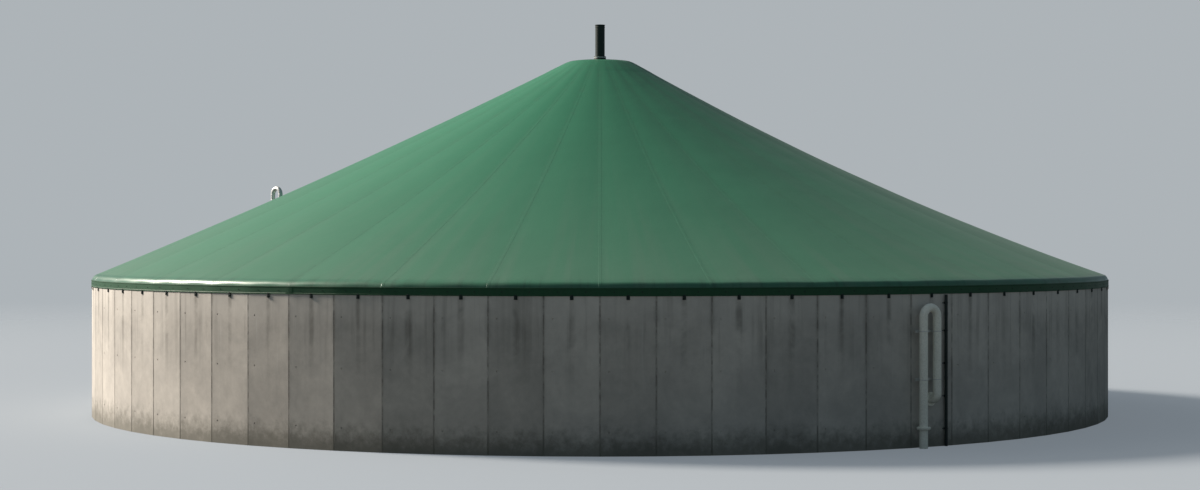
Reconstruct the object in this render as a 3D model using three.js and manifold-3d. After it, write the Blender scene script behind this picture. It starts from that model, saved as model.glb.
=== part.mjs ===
// Biogas digester: a round concrete tank under a conical membrane roof on one centre mast.
// Millimetres, +Z up. The origin is the middle of the tank's underside, and -Y is the front.

import * as THREE from 'three';
import * as BufferGeometryUtils from 'three/addons/utils/BufferGeometryUtils.js';
import Module from 'manifold-3d';

const wasm = await Module();
wasm.setup();

// Joints between pieces
const GAP = 0.4;

// Ring wall: flat formwork bays, three to a panel
const WALL_RADIUS = 12250;
const WALL_THICKNESS = 250;
const BAYS = 72;
const PANELS = 24;
const BAY_ANGLE = 2 * Math.PI / BAYS;
const BAY_FLATNESS = Math.cos(BAY_ANGLE / 2);
const INNER_RADIUS = WALL_RADIUS - WALL_THICKNESS;
const WALL_FACE = WALL_RADIUS * BAY_FLATNESS;
const FLOOR_THICKNESS = 250;

// Membrane roof: a sagging cone, a round shoulder over the wall's top and a skirt outside it
const MEMBRANE = 8;
const SKIRT_RADIUS = WALL_RADIUS + GAP + MEMBRANE;
const SKIRT_BOTTOM = 3036;
const SHOULDER_START = 3151;
const SHOULDER_RADIUS = 160;
const SHOULDER_STEPS = 3;
const ROOF_FOOT_ANGLE = THREE.MathUtils.degToRad(20.5);
const CROWN_HEIGHT = 8550;
const CROWN_RADIUS = 770;
const CONE_STEPS = 6;
// The sag at half way, as a share of the cone's rise: the mean, and what +X has more and -X less
const SAG_MEAN = 0.042;
const SAG_LEAN = 0.018;

// Hem band: a rail outside the skirt, with a tensioner lug below it in the middle of each bay
const BANDS = 6;
const BAND_BOTTOM = 3030;
const BAND_TOP = 3190;
const BAND_THICKNESS = 10;
const LUG_WIDTH = 70;
const LUG_BOTTOM = 2960;
const LUG_CLIP_HEIGHT = 30;
const LUG_PROUD = 12;

// Centre mast and crown
const MAST_RADIUS = 200;
const MAST_FOOT_RADIUS = 420;
const MAST_FOOT_HEIGHT = 40;
const STUB_RADIUS = 118;
const STUB_HEIGHT = 900;
const CAP_RADIUS = 128;
const CAP_THICKNESS = 14;
const CROWN_SIDES = 24;
const CROWN_HOLE_RADIUS = 150;
const DISC_RADIUS = 762;
const DISC_THICKNESS = 60;
const COLLAR_RADIUS = 260;
const COLLAR_NECK_RADIUS = 150;
const COLLAR_BASE_HEIGHT = 14;
const COLLAR_CONE_HEIGHT = 42;
const COLLAR_HEIGHT = 130;

// Overflow riser: an inverted U against the wall, right of the front. Its bay's middle is at
// RISER_AZIMUTH, and RISER_OFFSET is its own middle's way sideways from there.
const RISER_AZIMUTH = THREE.MathUtils.degToRad(302.5);
const RISER_OFFSET = -210;
const RISER_PIPE_RADIUS = 84;
const RISER_STAND_OFF = 200;
const RISER_HALF_SPACING = 174;
const RISER_TOP = 2850;
const RISER_ENTRY_HEIGHT = 950;
const RISER_ELBOW_RADIUS = 130;
const RISER_FLANGE_RADIUS = 140;
const RISER_FLANGE_THICKNESS = 22;
const BRACKET_HEIGHTS = { lower: 1350, upper: 2300 };
const BRACKET_HALF_LENGTH = 310;
const BRACKET_HEIGHT = 50;
const BRACKET_RAIL_DEPTH = 40;
const BRACKET_FOOT_WIDTH = 60;
const BRACKET_FOOT_OFFSET = 120;

// Cable conduit: a thin tube on clips beside the riser, from the ground to the hem band
const CONDUIT_OFFSET = 337;
const CONDUIT_RADIUS = 32;
const CONDUIT_STAND_OFF = 50;
const CONDUIT_TOP = 3015;
const CONDUIT_CLIP_HEIGHTS = [350, 1000, 1650, 2300, 2850];
const CONDUIT_CLIP_HALF = 20;

// Gas relief valve: a drum on a wall bracket behind on the left, with a swan-neck vent
const VALVE_AZIMUTH = THREE.MathUtils.degToRad(137.5);
const VALVE_STAND_OFF = 295;
const VALVE_RADIUS = 200;
const VALVE_BOTTOM = 2250;
const VALVE_HEIGHT = 780;
const VALVE_RIM_RADIUS = 225;
const VALVE_RIM_HEIGHT = 36;
const VALVE_INLET_RADIUS = 60;
const VALVE_INLET_HEIGHT = 2520;
const VALVE_FLANGE_RADIUS = 110;
const VALVE_FLANGE_THICKNESS = 22;
const VENT_RADIUS = 62;
const VENT_TOP = 5700;
const VENT_BEND_RADIUS = 170;
const VENT_DROP = 160;
const SHELF_HALF_WIDTH = 190;
const SHELF_THICKNESS = 16;
const SHELF_BACK_HEIGHT = 420;
const GUSSET_OFFSET = 150;

const GREEN = { color: 0x659d7f, roughness: 0.45, metalness: 0 };
const DARK_GREEN = { color: 0x16382a, roughness: 0.5, metalness: 0.2 };
const CONCRETE = { color: 0xb4aca0, roughness: 0.92, metalness: 0 };
const DARK_STEEL = { color: 0x1a2423, roughness: 0.5, metalness: 0.6 };
const GALVANIZED = { color: 0xb9bcbc, roughness: 0.42, metalness: 0.85 };

const digester = new THREE.Group();

// Named pieces and solids

function addPiece(name, geometry, finish) {
  const piece = new THREE.Mesh(geometry, new THREE.MeshStandardMaterial(finish));
  piece.name = name;
  digester.add(piece);
  return piece;
}

function toSolid(geometry) {
  const bare = geometry.clone();
  bare.deleteAttribute('normal');
  bare.deleteAttribute('uv');
  const merged = BufferGeometryUtils.mergeVertices(bare, 1e-3);
  return new wasm.Manifold(new wasm.Mesh({
    numProp: 3,
    vertProperties: new Float32Array(merged.attributes.position.array),
    triVerts: new Uint32Array(merged.index.array),
  }));
}

function toGeometry(solid) {
  const mesh = solid.getMesh();
  const geometry = new THREE.BufferGeometry();
  geometry.setAttribute('position', new THREE.BufferAttribute(mesh.vertProperties, 3));
  geometry.setIndex(new THREE.BufferAttribute(mesh.triVerts, 1));
  geometry.computeVertexNormals();
  return geometry;
}

// A body turned round +Z, from [radius, height] points that run anticlockwise
function turned(profile, sides) {
  const points = profile.map(([radius, height]) => new THREE.Vector2(radius, height));
  return new THREE.LatheGeometry(points, sides).rotateX(Math.PI / 2);
}

function closedRing(profile, sides) {
  return turned([...profile, profile[0]], sides);
}

// A box between two corners given as [radial, sideways, height]
function block(low, high) {
  const size = high.map((value, axis) => value - low[axis]);
  const centre = high.map((value, axis) => (value + low[axis]) / 2);
  return new THREE.BoxGeometry(...size).translate(...centre);
}

// A wedge from the axis outwards, with its two sides drawn in to leave a joint
function wedge(startAngle, endAngle) {
  const half = (endAngle - startAngle) / 2;
  const middle = startAngle + half;
  const reach = 2 * WALL_RADIUS;
  const tip = (GAP / 2) / Math.sin(half);
  const shape = new THREE.Shape();
  shape.moveTo(tip, 0);
  shape.lineTo(tip + reach * Math.cos(half), -reach * Math.sin(half));
  shape.lineTo(tip + reach * Math.cos(half), reach * Math.sin(half));
  shape.closePath();
  const depth = CROWN_HEIGHT;
  return new THREE.ExtrudeGeometry(shape, { depth, bevelEnabled: false })
    .translate(0, 0, -depth / 4)
    .rotateZ(middle);
}

// The line beside a profile at a distance, on its inner side
function offsetProfile(profile, distance) {
  const normals = profile.slice(1).map(([radius, height], index) => {
    const [lastRadius, lastHeight] = profile[index];
    return new THREE.Vector2(lastHeight - height, radius - lastRadius).normalize();
  });
  return profile.map(([radius, height], index) => {
    const before = normals[Math.max(index - 1, 0)];
    const after = normals[Math.min(index, normals.length - 1)];
    const bisector = before.clone().add(after).normalize();
    const reach = distance / bisector.dot(before);
    return [radius + bisector.x * reach, height + bisector.y * reach];
  });
}

// A curve through a list of points, sampled at exactly those points
class Route extends THREE.Curve {
  constructor(points) {
    super();
    this.points = points;
  }

  getPoint(t, target = new THREE.Vector3()) {
    const place = t * (this.points.length - 1);
    const index = Math.min(Math.floor(place), this.points.length - 2);
    return target.lerpVectors(this.points[index], this.points[index + 1], place - index);
  }

  getPointAt(u, target) {
    return this.getPoint(u, target);
  }

  getTangentAt(u, target = new THREE.Vector3()) {
    const index = Math.round(u * (this.points.length - 1));
    const before = this.points[Math.max(index - 1, 0)];
    const after = this.points[Math.min(index + 1, this.points.length - 1)];
    return target.subVectors(after, before).normalize();
  }
}

function pipe(points, radius, sides = 12) {
  const section = new THREE.Shape(Array.from({ length: sides }, (_, index) => {
    const angle = 2 * Math.PI * index / sides;
    return new THREE.Vector2(radius * Math.cos(angle), radius * Math.sin(angle));
  }));
  const extrudePath = new Route(points);
  return new THREE.ExtrudeGeometry(section, { steps: points.length - 1, extrudePath });
}

// Points on an arc about centre, from the direction `from` to the direction `to`
function arc(centre, from, to, radius, angle, steps) {
  return Array.from({ length: steps + 1 }, (_, index) => {
    const turn = angle * index / steps;
    return centre.clone()
      .addScaledVector(from, radius * Math.cos(turn))
      .addScaledVector(to, radius * Math.sin(turn));
  });
}

function joined(...geometries) {
  const solids = geometries.map(toSolid);
  return toGeometry(solids.reduce((whole, solid) => whole.add(solid)));
}

// Roof profile

const footTurn = Math.PI / 2 - ROOF_FOOT_ANGLE;
const skirt = [[SKIRT_RADIUS, SKIRT_BOTTOM], [SKIRT_RADIUS, SHOULDER_START]];
const shoulder = Array.from({ length: SHOULDER_STEPS }, (_, index) => {
  const turn = footTurn * (index + 1) / SHOULDER_STEPS;
  return [
    SKIRT_RADIUS - SHOULDER_RADIUS * (1 - Math.cos(turn)),
    SHOULDER_START + SHOULDER_RADIUS * Math.sin(turn),
  ];
});
const [FOOT_RADIUS, FOOT_HEIGHT] = shoulder.at(-1);
const CONE_RUN = FOOT_RADIUS - CROWN_RADIUS;
const CONE_RISE = CROWN_HEIGHT - FOOT_HEIGHT;

// How far the cone hangs below its straight line, as a share of the full sag
function hang(radius) {
  const along = THREE.MathUtils.clamp((radius - CROWN_RADIUS) / CONE_RUN, 0, 1);
  return 4 * along * (1 - along);
}

const cone = Array.from({ length: CONE_STEPS }, (_, index) => {
  const radius = FOOT_RADIUS - CONE_RUN * (index + 1) / CONE_STEPS;
  const straight = FOOT_HEIGHT + CONE_RISE * (index + 1) / CONE_STEPS;
  return [radius, straight - SAG_MEAN * CONE_RISE * hang(radius)];
});
const roofOutside = [...skirt, ...shoulder, ...cone, [CROWN_HOLE_RADIUS, CROWN_HEIGHT]];
const roofInside = offsetProfile(roofOutside, MEMBRANE);

function makeRoof() {
  const geometry = closedRing([...roofOutside, ...roofInside.reverse()], BAYS);
  const position = geometry.attributes.position;
  for (let index = 0; index < position.count; index += 1) {
    const x = position.getX(index);
    const radius = Math.hypot(x, position.getY(index));
    const lean = SAG_LEAN * CONE_RISE * hang(radius) * x / radius;
    position.setZ(index, position.getZ(index) - lean);
  }
  addPiece('roof_membrane', geometry, GREEN);
}

// Concrete

function makeWall() {
  const nose = offsetProfile(roofOutside, MEMBRANE + GAP).slice(1, skirt.length + shoulder.length);
  const wallTop = nose.at(-1)[1];
  const ring = toSolid(closedRing([
    [INNER_RADIUS, 0],
    [WALL_RADIUS, 0],
    ...nose,
    [INNER_RADIUS, wallTop],
  ], BAYS));
  const panelAngle = 2 * Math.PI / PANELS;
  for (let index = 0; index < PANELS; index += 1) {
    const start = index * panelAngle;
    const panel = ring.intersect(toSolid(wedge(start, start + panelAngle)));
    addPiece(`wall_panel_${String(index + 1).padStart(2, '0')}`, toGeometry(panel), CONCRETE);
  }
}

function makeFloor() {
  const radius = INNER_RADIUS - GAP;
  addPiece('floor_slab', turned([
    [0, 0],
    [radius, 0],
    [radius, FLOOR_THICKNESS],
    [0, FLOOR_THICKNESS],
  ], BAYS), CONCRETE);
}

// Hem band

function makeLug(azimuth) {
  const bandFace = (SKIRT_RADIUS + GAP + BAND_THICKNESS) * BAY_FLATNESS;
  const front = bandFace + LUG_PROUD;
  const half = LUG_WIDTH / 2;
  const shank = block([WALL_FACE + GAP, -half, LUG_BOTTOM], [front, half, SKIRT_BOTTOM - 1]);
  const clip = block([bandFace - BAND_THICKNESS / 2, -half, BAND_BOTTOM - 1],
    [front, half, BAND_BOTTOM + LUG_CLIP_HEIGHT]);
  return [shank, clip].map((geometry) => toSolid(geometry.rotateZ(azimuth)));
}

function makeHemBand() {
  const back = SKIRT_RADIUS + GAP;
  const ring = toSolid(closedRing([
    [back, BAND_BOTTOM],
    [back + BAND_THICKNESS, BAND_BOTTOM],
    [back + BAND_THICKNESS, BAND_TOP],
    [back, BAND_TOP],
  ], BAYS));
  const bandAngle = 2 * Math.PI / BANDS;
  for (let index = 0; index < BANDS; index += 1) {
    const start = index * bandAngle;
    let band = ring.intersect(toSolid(wedge(start, start + bandAngle)));
    for (let bay = 0; bay < BAYS / BANDS; bay += 1) {
      for (const solid of makeLug(start + (bay + 0.5) * BAY_ANGLE)) {
        band = band.add(solid);
      }
    }
    addPiece(`hem_band_${index + 1}`, toGeometry(band), DARK_GREEN);
  }
}

// Crown and mast

function makeCrown() {
  const discTop = CROWN_HEIGHT - MEMBRANE - GAP;
  const discBottom = discTop - DISC_THICKNESS;
  addPiece('crown_disc', closedRing([
    [STUB_RADIUS + GAP, discBottom],
    [DISC_RADIUS, discBottom],
    [DISC_RADIUS, discTop],
    [STUB_RADIUS + GAP, discTop],
  ], CROWN_SIDES), DARK_STEEL);

  const collarBottom = CROWN_HEIGHT + GAP;
  addPiece('crown_collar', closedRing([
    [STUB_RADIUS + GAP, collarBottom],
    [COLLAR_RADIUS, collarBottom],
    [COLLAR_RADIUS, collarBottom + COLLAR_BASE_HEIGHT],
    [COLLAR_NECK_RADIUS, collarBottom + COLLAR_CONE_HEIGHT],
    [COLLAR_NECK_RADIUS, collarBottom + COLLAR_HEIGHT],
    [STUB_RADIUS + GAP, collarBottom + COLLAR_HEIGHT],
  ], CROWN_SIDES), DARK_STEEL);

  const foot = FLOOR_THICKNESS + GAP;
  const shoulderHeight = discBottom - GAP;
  const stubTop = CROWN_HEIGHT + STUB_HEIGHT;
  addPiece('centre_mast', turned([
    [0, foot],
    [MAST_FOOT_RADIUS, foot],
    [MAST_FOOT_RADIUS, foot + MAST_FOOT_HEIGHT],
    [MAST_RADIUS, foot + MAST_FOOT_HEIGHT],
    [MAST_RADIUS, shoulderHeight],
    [STUB_RADIUS, shoulderHeight],
    [STUB_RADIUS, stubTop],
    [0, stubTop],
  ], CROWN_SIDES), DARK_STEEL);

  const capBottom = stubTop + GAP;
  addPiece('mast_cap', turned([
    [0, capBottom],
    [CAP_RADIUS, capBottom],
    [CAP_RADIUS, capBottom + CAP_THICKNESS],
    [0, capBottom + CAP_THICKNESS],
  ], CROWN_SIDES), DARK_STEEL);
}

// Pieces on the wall are made at azimuth 0, where +X is outwards, and then turned into place

const OUT = new THREE.Vector3(1, 0, 0);
const SIDE = new THREE.Vector3(0, 1, 0);
const UP = new THREE.Vector3(0, 0, 1);

function wallFlange(sideways, height, radius, thickness) {
  const back = WALL_FACE + GAP;
  return new THREE.CylinderGeometry(radius, radius, thickness, 24)
    .rotateZ(Math.PI / 2)
    .translate(back + thickness / 2, sideways, height);
}

function makeOverflowRiser() {
  const centre = WALL_FACE + RISER_STAND_OFF;
  const bendHeight = RISER_TOP - RISER_PIPE_RADIUS - RISER_HALF_SPACING;
  const elbowCentre = new THREE.Vector3(
    centre - RISER_ELBOW_RADIUS, RISER_HALF_SPACING, RISER_ENTRY_HEIGHT + RISER_ELBOW_RADIUS);
  const down = UP.clone().negate();
  const route = [
    new THREE.Vector3(centre, -RISER_HALF_SPACING, 0),
    ...arc(new THREE.Vector3(centre, 0, bendHeight), SIDE.clone().negate(), UP,
      RISER_HALF_SPACING, Math.PI, 10),
    ...arc(elbowCentre, OUT, down, RISER_ELBOW_RADIUS, Math.PI / 2, 4),
    new THREE.Vector3(WALL_FACE + GAP + RISER_FLANGE_THICKNESS / 2, RISER_HALF_SPACING,
      RISER_ENTRY_HEIGHT),
  ];
  const flange = wallFlange(RISER_HALF_SPACING, RISER_ENTRY_HEIGHT,
    RISER_FLANGE_RADIUS, RISER_FLANGE_THICKNESS);
  const riser = joined(pipe(route, RISER_PIPE_RADIUS), flange).translate(0, RISER_OFFSET, 0);
  addPiece('overflow_riser', riser, GALVANIZED).rotation.z = RISER_AZIMUTH;
}

function makeRiserBracket(name, height) {
  const back = WALL_FACE + GAP;
  const front = WALL_FACE + RISER_STAND_OFF - RISER_PIPE_RADIUS - GAP;
  const low = height - BRACKET_HEIGHT / 2;
  const high = height + BRACKET_HEIGHT / 2;
  const rail = block([front - BRACKET_RAIL_DEPTH, -BRACKET_HALF_LENGTH, low],
    [front, BRACKET_HALF_LENGTH, high]);
  const feet = [-1, 1].map((side) => {
    const middle = side * BRACKET_FOOT_OFFSET;
    return block([back, middle - BRACKET_FOOT_WIDTH / 2, low],
      [front - BRACKET_RAIL_DEPTH / 2, middle + BRACKET_FOOT_WIDTH / 2, high]);
  });
  const bracket = joined(rail, ...feet).translate(0, RISER_OFFSET, 0);
  addPiece(name, bracket, GALVANIZED).rotation.z = RISER_AZIMUTH;
}

function makeCableConduit() {
  const centre = WALL_FACE + CONDUIT_STAND_OFF;
  const tube = pipe([
    new THREE.Vector3(centre, CONDUIT_OFFSET, 0),
    new THREE.Vector3(centre, CONDUIT_OFFSET, CONDUIT_TOP),
  ], CONDUIT_RADIUS);
  const clips = CONDUIT_CLIP_HEIGHTS.map((height) => block(
    [WALL_FACE + GAP, CONDUIT_OFFSET - CONDUIT_CLIP_HALF, height - CONDUIT_CLIP_HALF],
    [centre, CONDUIT_OFFSET + CONDUIT_CLIP_HALF, height + CONDUIT_CLIP_HALF]));
  addPiece('cable_conduit', joined(tube, ...clips), DARK_STEEL).rotation.z = RISER_AZIMUTH;
}

function makeReliefValve() {
  const centre = WALL_FACE + VALVE_STAND_OFF;
  const top = VALVE_BOTTOM + VALVE_HEIGHT;
  const drum = turned([
    [0, VALVE_BOTTOM],
    [VALVE_RADIUS, VALVE_BOTTOM],
    [VALVE_RADIUS, top - VALVE_RIM_HEIGHT],
    [VALVE_RIM_RADIUS, top - VALVE_RIM_HEIGHT],
    [VALVE_RIM_RADIUS, top],
    [0, top],
  ], 24).translate(centre, 0, 0);
  const inlet = pipe([
    new THREE.Vector3(WALL_FACE + GAP + VALVE_FLANGE_THICKNESS / 2, 0, VALVE_INLET_HEIGHT),
    new THREE.Vector3(centre, 0, VALVE_INLET_HEIGHT),
  ], VALVE_INLET_RADIUS);
  const flange = wallFlange(0, VALVE_INLET_HEIGHT, VALVE_FLANGE_RADIUS, VALVE_FLANGE_THICKNESS);
  addPiece('relief_valve_body', joined(drum, inlet, flange), GALVANIZED)
    .rotation.z = VALVE_AZIMUTH;

  const bendHeight = VENT_TOP - VENT_RADIUS - VENT_BEND_RADIUS;
  const bendCentre = new THREE.Vector3(centre + VENT_BEND_RADIUS, 0, bendHeight);
  const vent = pipe([
    new THREE.Vector3(centre, 0, top + GAP),
    ...arc(bendCentre, OUT.clone().negate(), UP, VENT_BEND_RADIUS, Math.PI, 8),
    new THREE.Vector3(centre + 2 * VENT_BEND_RADIUS, 0, bendHeight - VENT_DROP),
  ], VENT_RADIUS);
  addPiece('relief_valve_vent', vent, GALVANIZED).rotation.z = VALVE_AZIMUTH;

  const back = WALL_FACE + GAP;
  const shelfTop = VALVE_BOTTOM - GAP;
  const shelfFront = centre + VALVE_RADIUS * 0.8;
  const shelf = block([back, -SHELF_HALF_WIDTH, shelfTop - SHELF_THICKNESS],
    [shelfFront, SHELF_HALF_WIDTH, shelfTop]);
  const plate = block([back, -SHELF_HALF_WIDTH, shelfTop - SHELF_BACK_HEIGHT],
    [back + SHELF_THICKNESS, SHELF_HALF_WIDTH, shelfTop]);
  const gussetShape = new THREE.Shape([
    new THREE.Vector2(back + SHELF_THICKNESS / 2, shelfTop - SHELF_BACK_HEIGHT),
    new THREE.Vector2(shelfFront - SHELF_THICKNESS, shelfTop - SHELF_THICKNESS),
    new THREE.Vector2(shelfFront - SHELF_THICKNESS, shelfTop - SHELF_THICKNESS / 2),
    new THREE.Vector2(back + SHELF_THICKNESS / 2, shelfTop - SHELF_THICKNESS / 2),
  ]);
  const gussets = [-1, 1].map((side) => new THREE.ExtrudeGeometry(gussetShape,
    { depth: SHELF_THICKNESS, bevelEnabled: false })
    .rotateX(Math.PI / 2)
    .translate(0, side * GUSSET_OFFSET + SHELF_THICKNESS / 2, 0));
  addPiece('relief_valve_bracket', joined(shelf, plate, ...gussets), GALVANIZED)
    .rotation.z = VALVE_AZIMUTH;
}

makeWall();
makeFloor();
makeRoof();
makeHemBand();
makeCrown();
makeOverflowRiser();
makeRiserBracket('riser_bracket_lower', BRACKET_HEIGHTS.lower);
makeRiserBracket('riser_bracket_upper', BRACKET_HEIGHTS.upper);
makeCableConduit();
makeReliefValve();

export default digester;
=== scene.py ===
# Biogas digester: fine shapes and finishes around the fixed frame. Metres, +Z up, -Y is the front.
from math import atan, cos, exp, hypot, pi, radians, sin, sqrt, tan

import bmesh
import bpy
from mathutils import Matrix, Vector, noise


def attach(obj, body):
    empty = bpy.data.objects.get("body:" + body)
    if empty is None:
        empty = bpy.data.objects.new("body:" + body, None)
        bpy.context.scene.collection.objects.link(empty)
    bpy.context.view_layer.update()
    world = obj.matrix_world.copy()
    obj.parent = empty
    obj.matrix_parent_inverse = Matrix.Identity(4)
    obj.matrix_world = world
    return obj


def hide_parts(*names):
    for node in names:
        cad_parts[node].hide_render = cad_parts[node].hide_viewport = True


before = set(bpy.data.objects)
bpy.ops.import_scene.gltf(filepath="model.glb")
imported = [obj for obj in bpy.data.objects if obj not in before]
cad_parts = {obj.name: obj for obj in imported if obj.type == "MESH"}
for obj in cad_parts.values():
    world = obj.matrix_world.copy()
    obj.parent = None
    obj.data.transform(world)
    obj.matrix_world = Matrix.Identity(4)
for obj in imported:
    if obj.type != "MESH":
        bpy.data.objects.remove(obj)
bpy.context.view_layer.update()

# Driving dimensions
GAP = 0.0004
TURN = 2 * pi

WALL_RADIUS = 12.25
WALL_THICKNESS = 0.25
FLOOR_THICKNESS = 0.25
BAYS = 72
BAY_ANGLE = TURN / BAYS
BAY_FLATNESS = cos(BAY_ANGLE / 2)
BAY_WIDTH = 2 * WALL_RADIUS * sin(BAY_ANGLE / 2)
WALL_FACE = WALL_RADIUS * BAY_FLATNESS
PANELS = 24
PANEL_BAYS = BAYS // PANELS

CAD_MEMBRANE = 0.008
CLOTH = 0.0035
SKIN_RADIUS = WALL_RADIUS + GAP + CAD_MEMBRANE - 0.003
SKIRT_BOTTOM = 3.036
SHOULDER_START = 3.151
SHOULDER_RADIUS = 0.16
FOOT_SLOPE = radians(20.5)
CROWN_HEIGHT = 8.55
CROWN_RADIUS = 0.77
SAG_MEAN = 0.042
SAG_LEAN = 0.018
GORES = 36
GORE_ANGLE = TURN / GORES

BANDS = 6
BAND_SPAN = TURN / BANDS
BAND_BOTTOM = 3.03
BAND_TOP = 3.19
BAND_MIDDLE = (BAND_BOTTOM + BAND_TOP) / 2
BAND_BACK = SKIN_RADIUS + 0.0005
BAND_FRONT = BAND_BACK + 0.0095
BAND_LIP = 0.024
BAND_WEB = 0.0045
LUG_BOTTOM = 2.96

DISC_THICKNESS = 0.06
STUB_RADIUS = 0.118
STUB_TOP = CROWN_HEIGHT + 0.90

# Where fittings stand on a bay's flat face
BACK = WALL_FACE + GAP
OUT, SIDE, UP = Vector((1, 0, 0)), Vector((0, 1, 0)), Vector((0, 0, 1))
# These turn a form that stands out along +X to stand upwards or downwards
UPWARDS = Matrix.Rotation(-pi / 2, 4, "Y")
DOWNWARDS = Matrix.Rotation(pi / 2, 4, "Y")

# Camera: the photo's place, 51 m from the axis and 4 m up, with a longer lens
CAMERA_DISTANCE = 51.3
CAMERA_HEIGHT = 4.0
LENS_MM = 62.0

SUN_STRENGTH = 6.9
SUN_BEARING = radians(24.0)
SUN_ELEVATION = radians(31)
SUN_COLOUR = (1.0, 0.90, 0.79)
SUN_WIDTH = radians(13)
# The bright haze round the sun
GLOW = (2.6, 2.45, 2.25)
GLOW_TIGHTNESS = 12
# The sky's light by the height of its direction, from the horizon up
SKY = ((0.0, (0.30, 0.38, 0.43, 1.0)), (0.15, (0.150, 0.190, 0.215, 1.0)),
       (0.75, (0.086, 0.120, 0.152, 1.0)))
BACKDROP = (0.42, 0.455, 0.48)
# The pale floor as it is seen, its even glow, and what it throws back on the tank
FLOOR_TONE = (0.225, 0.248, 0.272)
FLOOR_GLOW = (0.150, 0.170, 0.190)
FLOOR_BOUNCE = (0.088, 0.090, 0.084)
FLOOR_RADIUS = 150.0
FLOOR_FADE = (28.0, 110.0)
FLOOR_LEVEL = -0.002


# Shapes


class Shape:
    """Points and faces of one piece, gathered from simple forms."""

    def __init__(self):
        self.points = []
        self.faces = []

    def add(self, form, place=None):
        points, faces = form
        first = len(self.points)
        self.points += [place @ Vector(p) if place else Vector(p) for p in points]
        self.faces += [[first + index for index in face] for face in faces]
        return self


def share(value):
    """A number held between 0 and 1."""
    return min(max(value, 0.0), 1.0)


def polar(radius, azimuth, height):
    return radius * cos(azimuth), radius * sin(azimuth), height


def turns(count, start=0.0):
    """Angles spread evenly round a circle, the first one start steps on."""
    return [TURN * (step + start) / count for step in range(count)]


def lattice(rows, columns, ring=False):
    """Faces of a tube with columns of points round it; ring joins its last row to its first."""
    faces = []
    for row in range(rows if ring else rows - 1):
        for column in range(columns):
            beside, above = (column + 1) % columns, (row + 1) % rows
            faces.append([row * columns + column, row * columns + beside,
                          above * columns + beside, above * columns + column])
    return faces


def bar(rows, size):
    """Faces of a solid bar: size points round its section at each row, and its two ends."""
    ends = [list(range(size))[::-1], list(range(size * (rows - 1), size * rows))]
    return lattice(rows, size) + ends


def turned(profile, sides, ring=False):
    """A profile of (radius, height) points turned round +Z; ring closes the profile on itself."""
    points = [polar(radius, turn, height) for radius, height in profile for turn in turns(sides)]
    return points, lattice(len(profile), sides, ring)


def circle(radius, sides):
    return [polar(radius, turn, 0)[:2] for turn in turns(sides)]


def swept(path, section, ring=False, bore=None):
    """A section of (across, up) points carried along a path without twisting.

    bore hollows the far end: the bore's share of the section and its depth.
    """
    path = [Vector(p) for p in path]
    count = len(path)
    across = None
    points = []
    for index, place in enumerate(path):
        before = path[index - 1] if index or ring else place
        after = path[(index + 1) % count] if index < count - 1 or ring else place
        along = (after - before).normalized()
        if across is None:
            across = along.orthogonal().normalized()
        across = (across - along * across.dot(along)).normalized()
        up = along.cross(across)
        points += [place + across * x + up * y for x, y in section]
    if bore:
        narrowed, depth = bore
        for inwards in (0, depth):
            middle = path[-1] - along * inwards
            points += [middle + (across * x + up * y) * narrowed for x, y in section]
        count += 2
    size = len(section)
    return points, lattice(count, size, ring) if ring else bar(count, size)


def shoulder(face, start, radius, angle, steps):
    """Points of a profile that rounds an upright face inwards from the height start."""
    angles = [angle * step / steps for step in range(1, steps + 1)]
    return [(face - radius * (1 - cos(a)), start + radius * sin(a)) for a in angles]


def bowed(centre, start, finish, radius, angle, steps):
    """Points on an arc about a centre, from the direction start towards finish."""
    angles = [angle * step / steps for step in range(steps + 1)]
    return [Vector(centre) + start * radius * cos(a) + finish * radius * sin(a) for a in angles]


def block(low, high, edge=0.002):
    """A box with bevelled edges between two corners."""
    form = bmesh.new()
    bmesh.ops.create_cube(form, size=1.0)
    size = [h - l for l, h in zip(low, high)]
    middle = [(h + l) / 2 for l, h in zip(low, high)]
    for vertex in form.verts:
        vertex.co = Vector(c * s + m for c, s, m in zip(vertex.co, size, middle))
    bmesh.ops.bevel(form, geom=form.edges[:], offset=edge, segments=1, affect="EDGES")
    form.verts.index_update()
    points = [vertex.co.copy() for vertex in form.verts]
    faces = [[vertex.index for vertex in face.verts] for face in form.faces]
    form.free()
    return points, faces


def rod(start, end, radius, sides):
    return swept([start, end], circle(radius, sides))


def stood_out(profile, sides):
    """A profile of (radius, distance) points turned round +X."""
    points, faces = turned(profile, sides)
    return [(z, x, y) for x, y, z in points], faces


def disc(radius, thickness, sides, edge):
    """A flat round plate that stands out along +X."""
    return stood_out([(0, 0), (radius, 0), (radius, thickness - edge),
                      (radius - edge, thickness), (0, thickness)], sides)


BOLT_SINK = 0.0005


def bolt_head(radius):
    """A washer and a hexagon head that stand out along +X."""
    hexagon = ((0, 0.3), (1.12, 0.3), (1.12, 1.25), (0.95, 1.42), (0, 1.42))
    shape = Shape().add(disc(radius * 1.75, radius * 0.3, 16, radius * 0.06))
    shape.add(stood_out([(radius * x, radius * y) for x, y in hexagon], 6))
    return shape.points, shape.faces


def around(azimuth):
    """The frame of a place on the wall: +X outwards, +Y sideways."""
    return Matrix.Rotation(azimuth, 4, "Z")


def at(x, y, z):
    return Matrix.Translation((x, y, z))


def add_lid_bolts(shape, bolt_radius, ring_radius, height, centre=0.0):
    """Sixteen upright bolts in a ring about an upright axis."""
    head = bolt_head(bolt_radius)
    for turn in turns(16, 0.5):
        place = at(centre, 0, 0) @ around(turn) @ at(ring_radius, 0, height)
        shape.add(head, place @ UPWARDS)


def linked(name, data):
    made = bpy.data.objects.new(name, data)
    bpy.context.scene.collection.objects.link(made)
    return made


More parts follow.
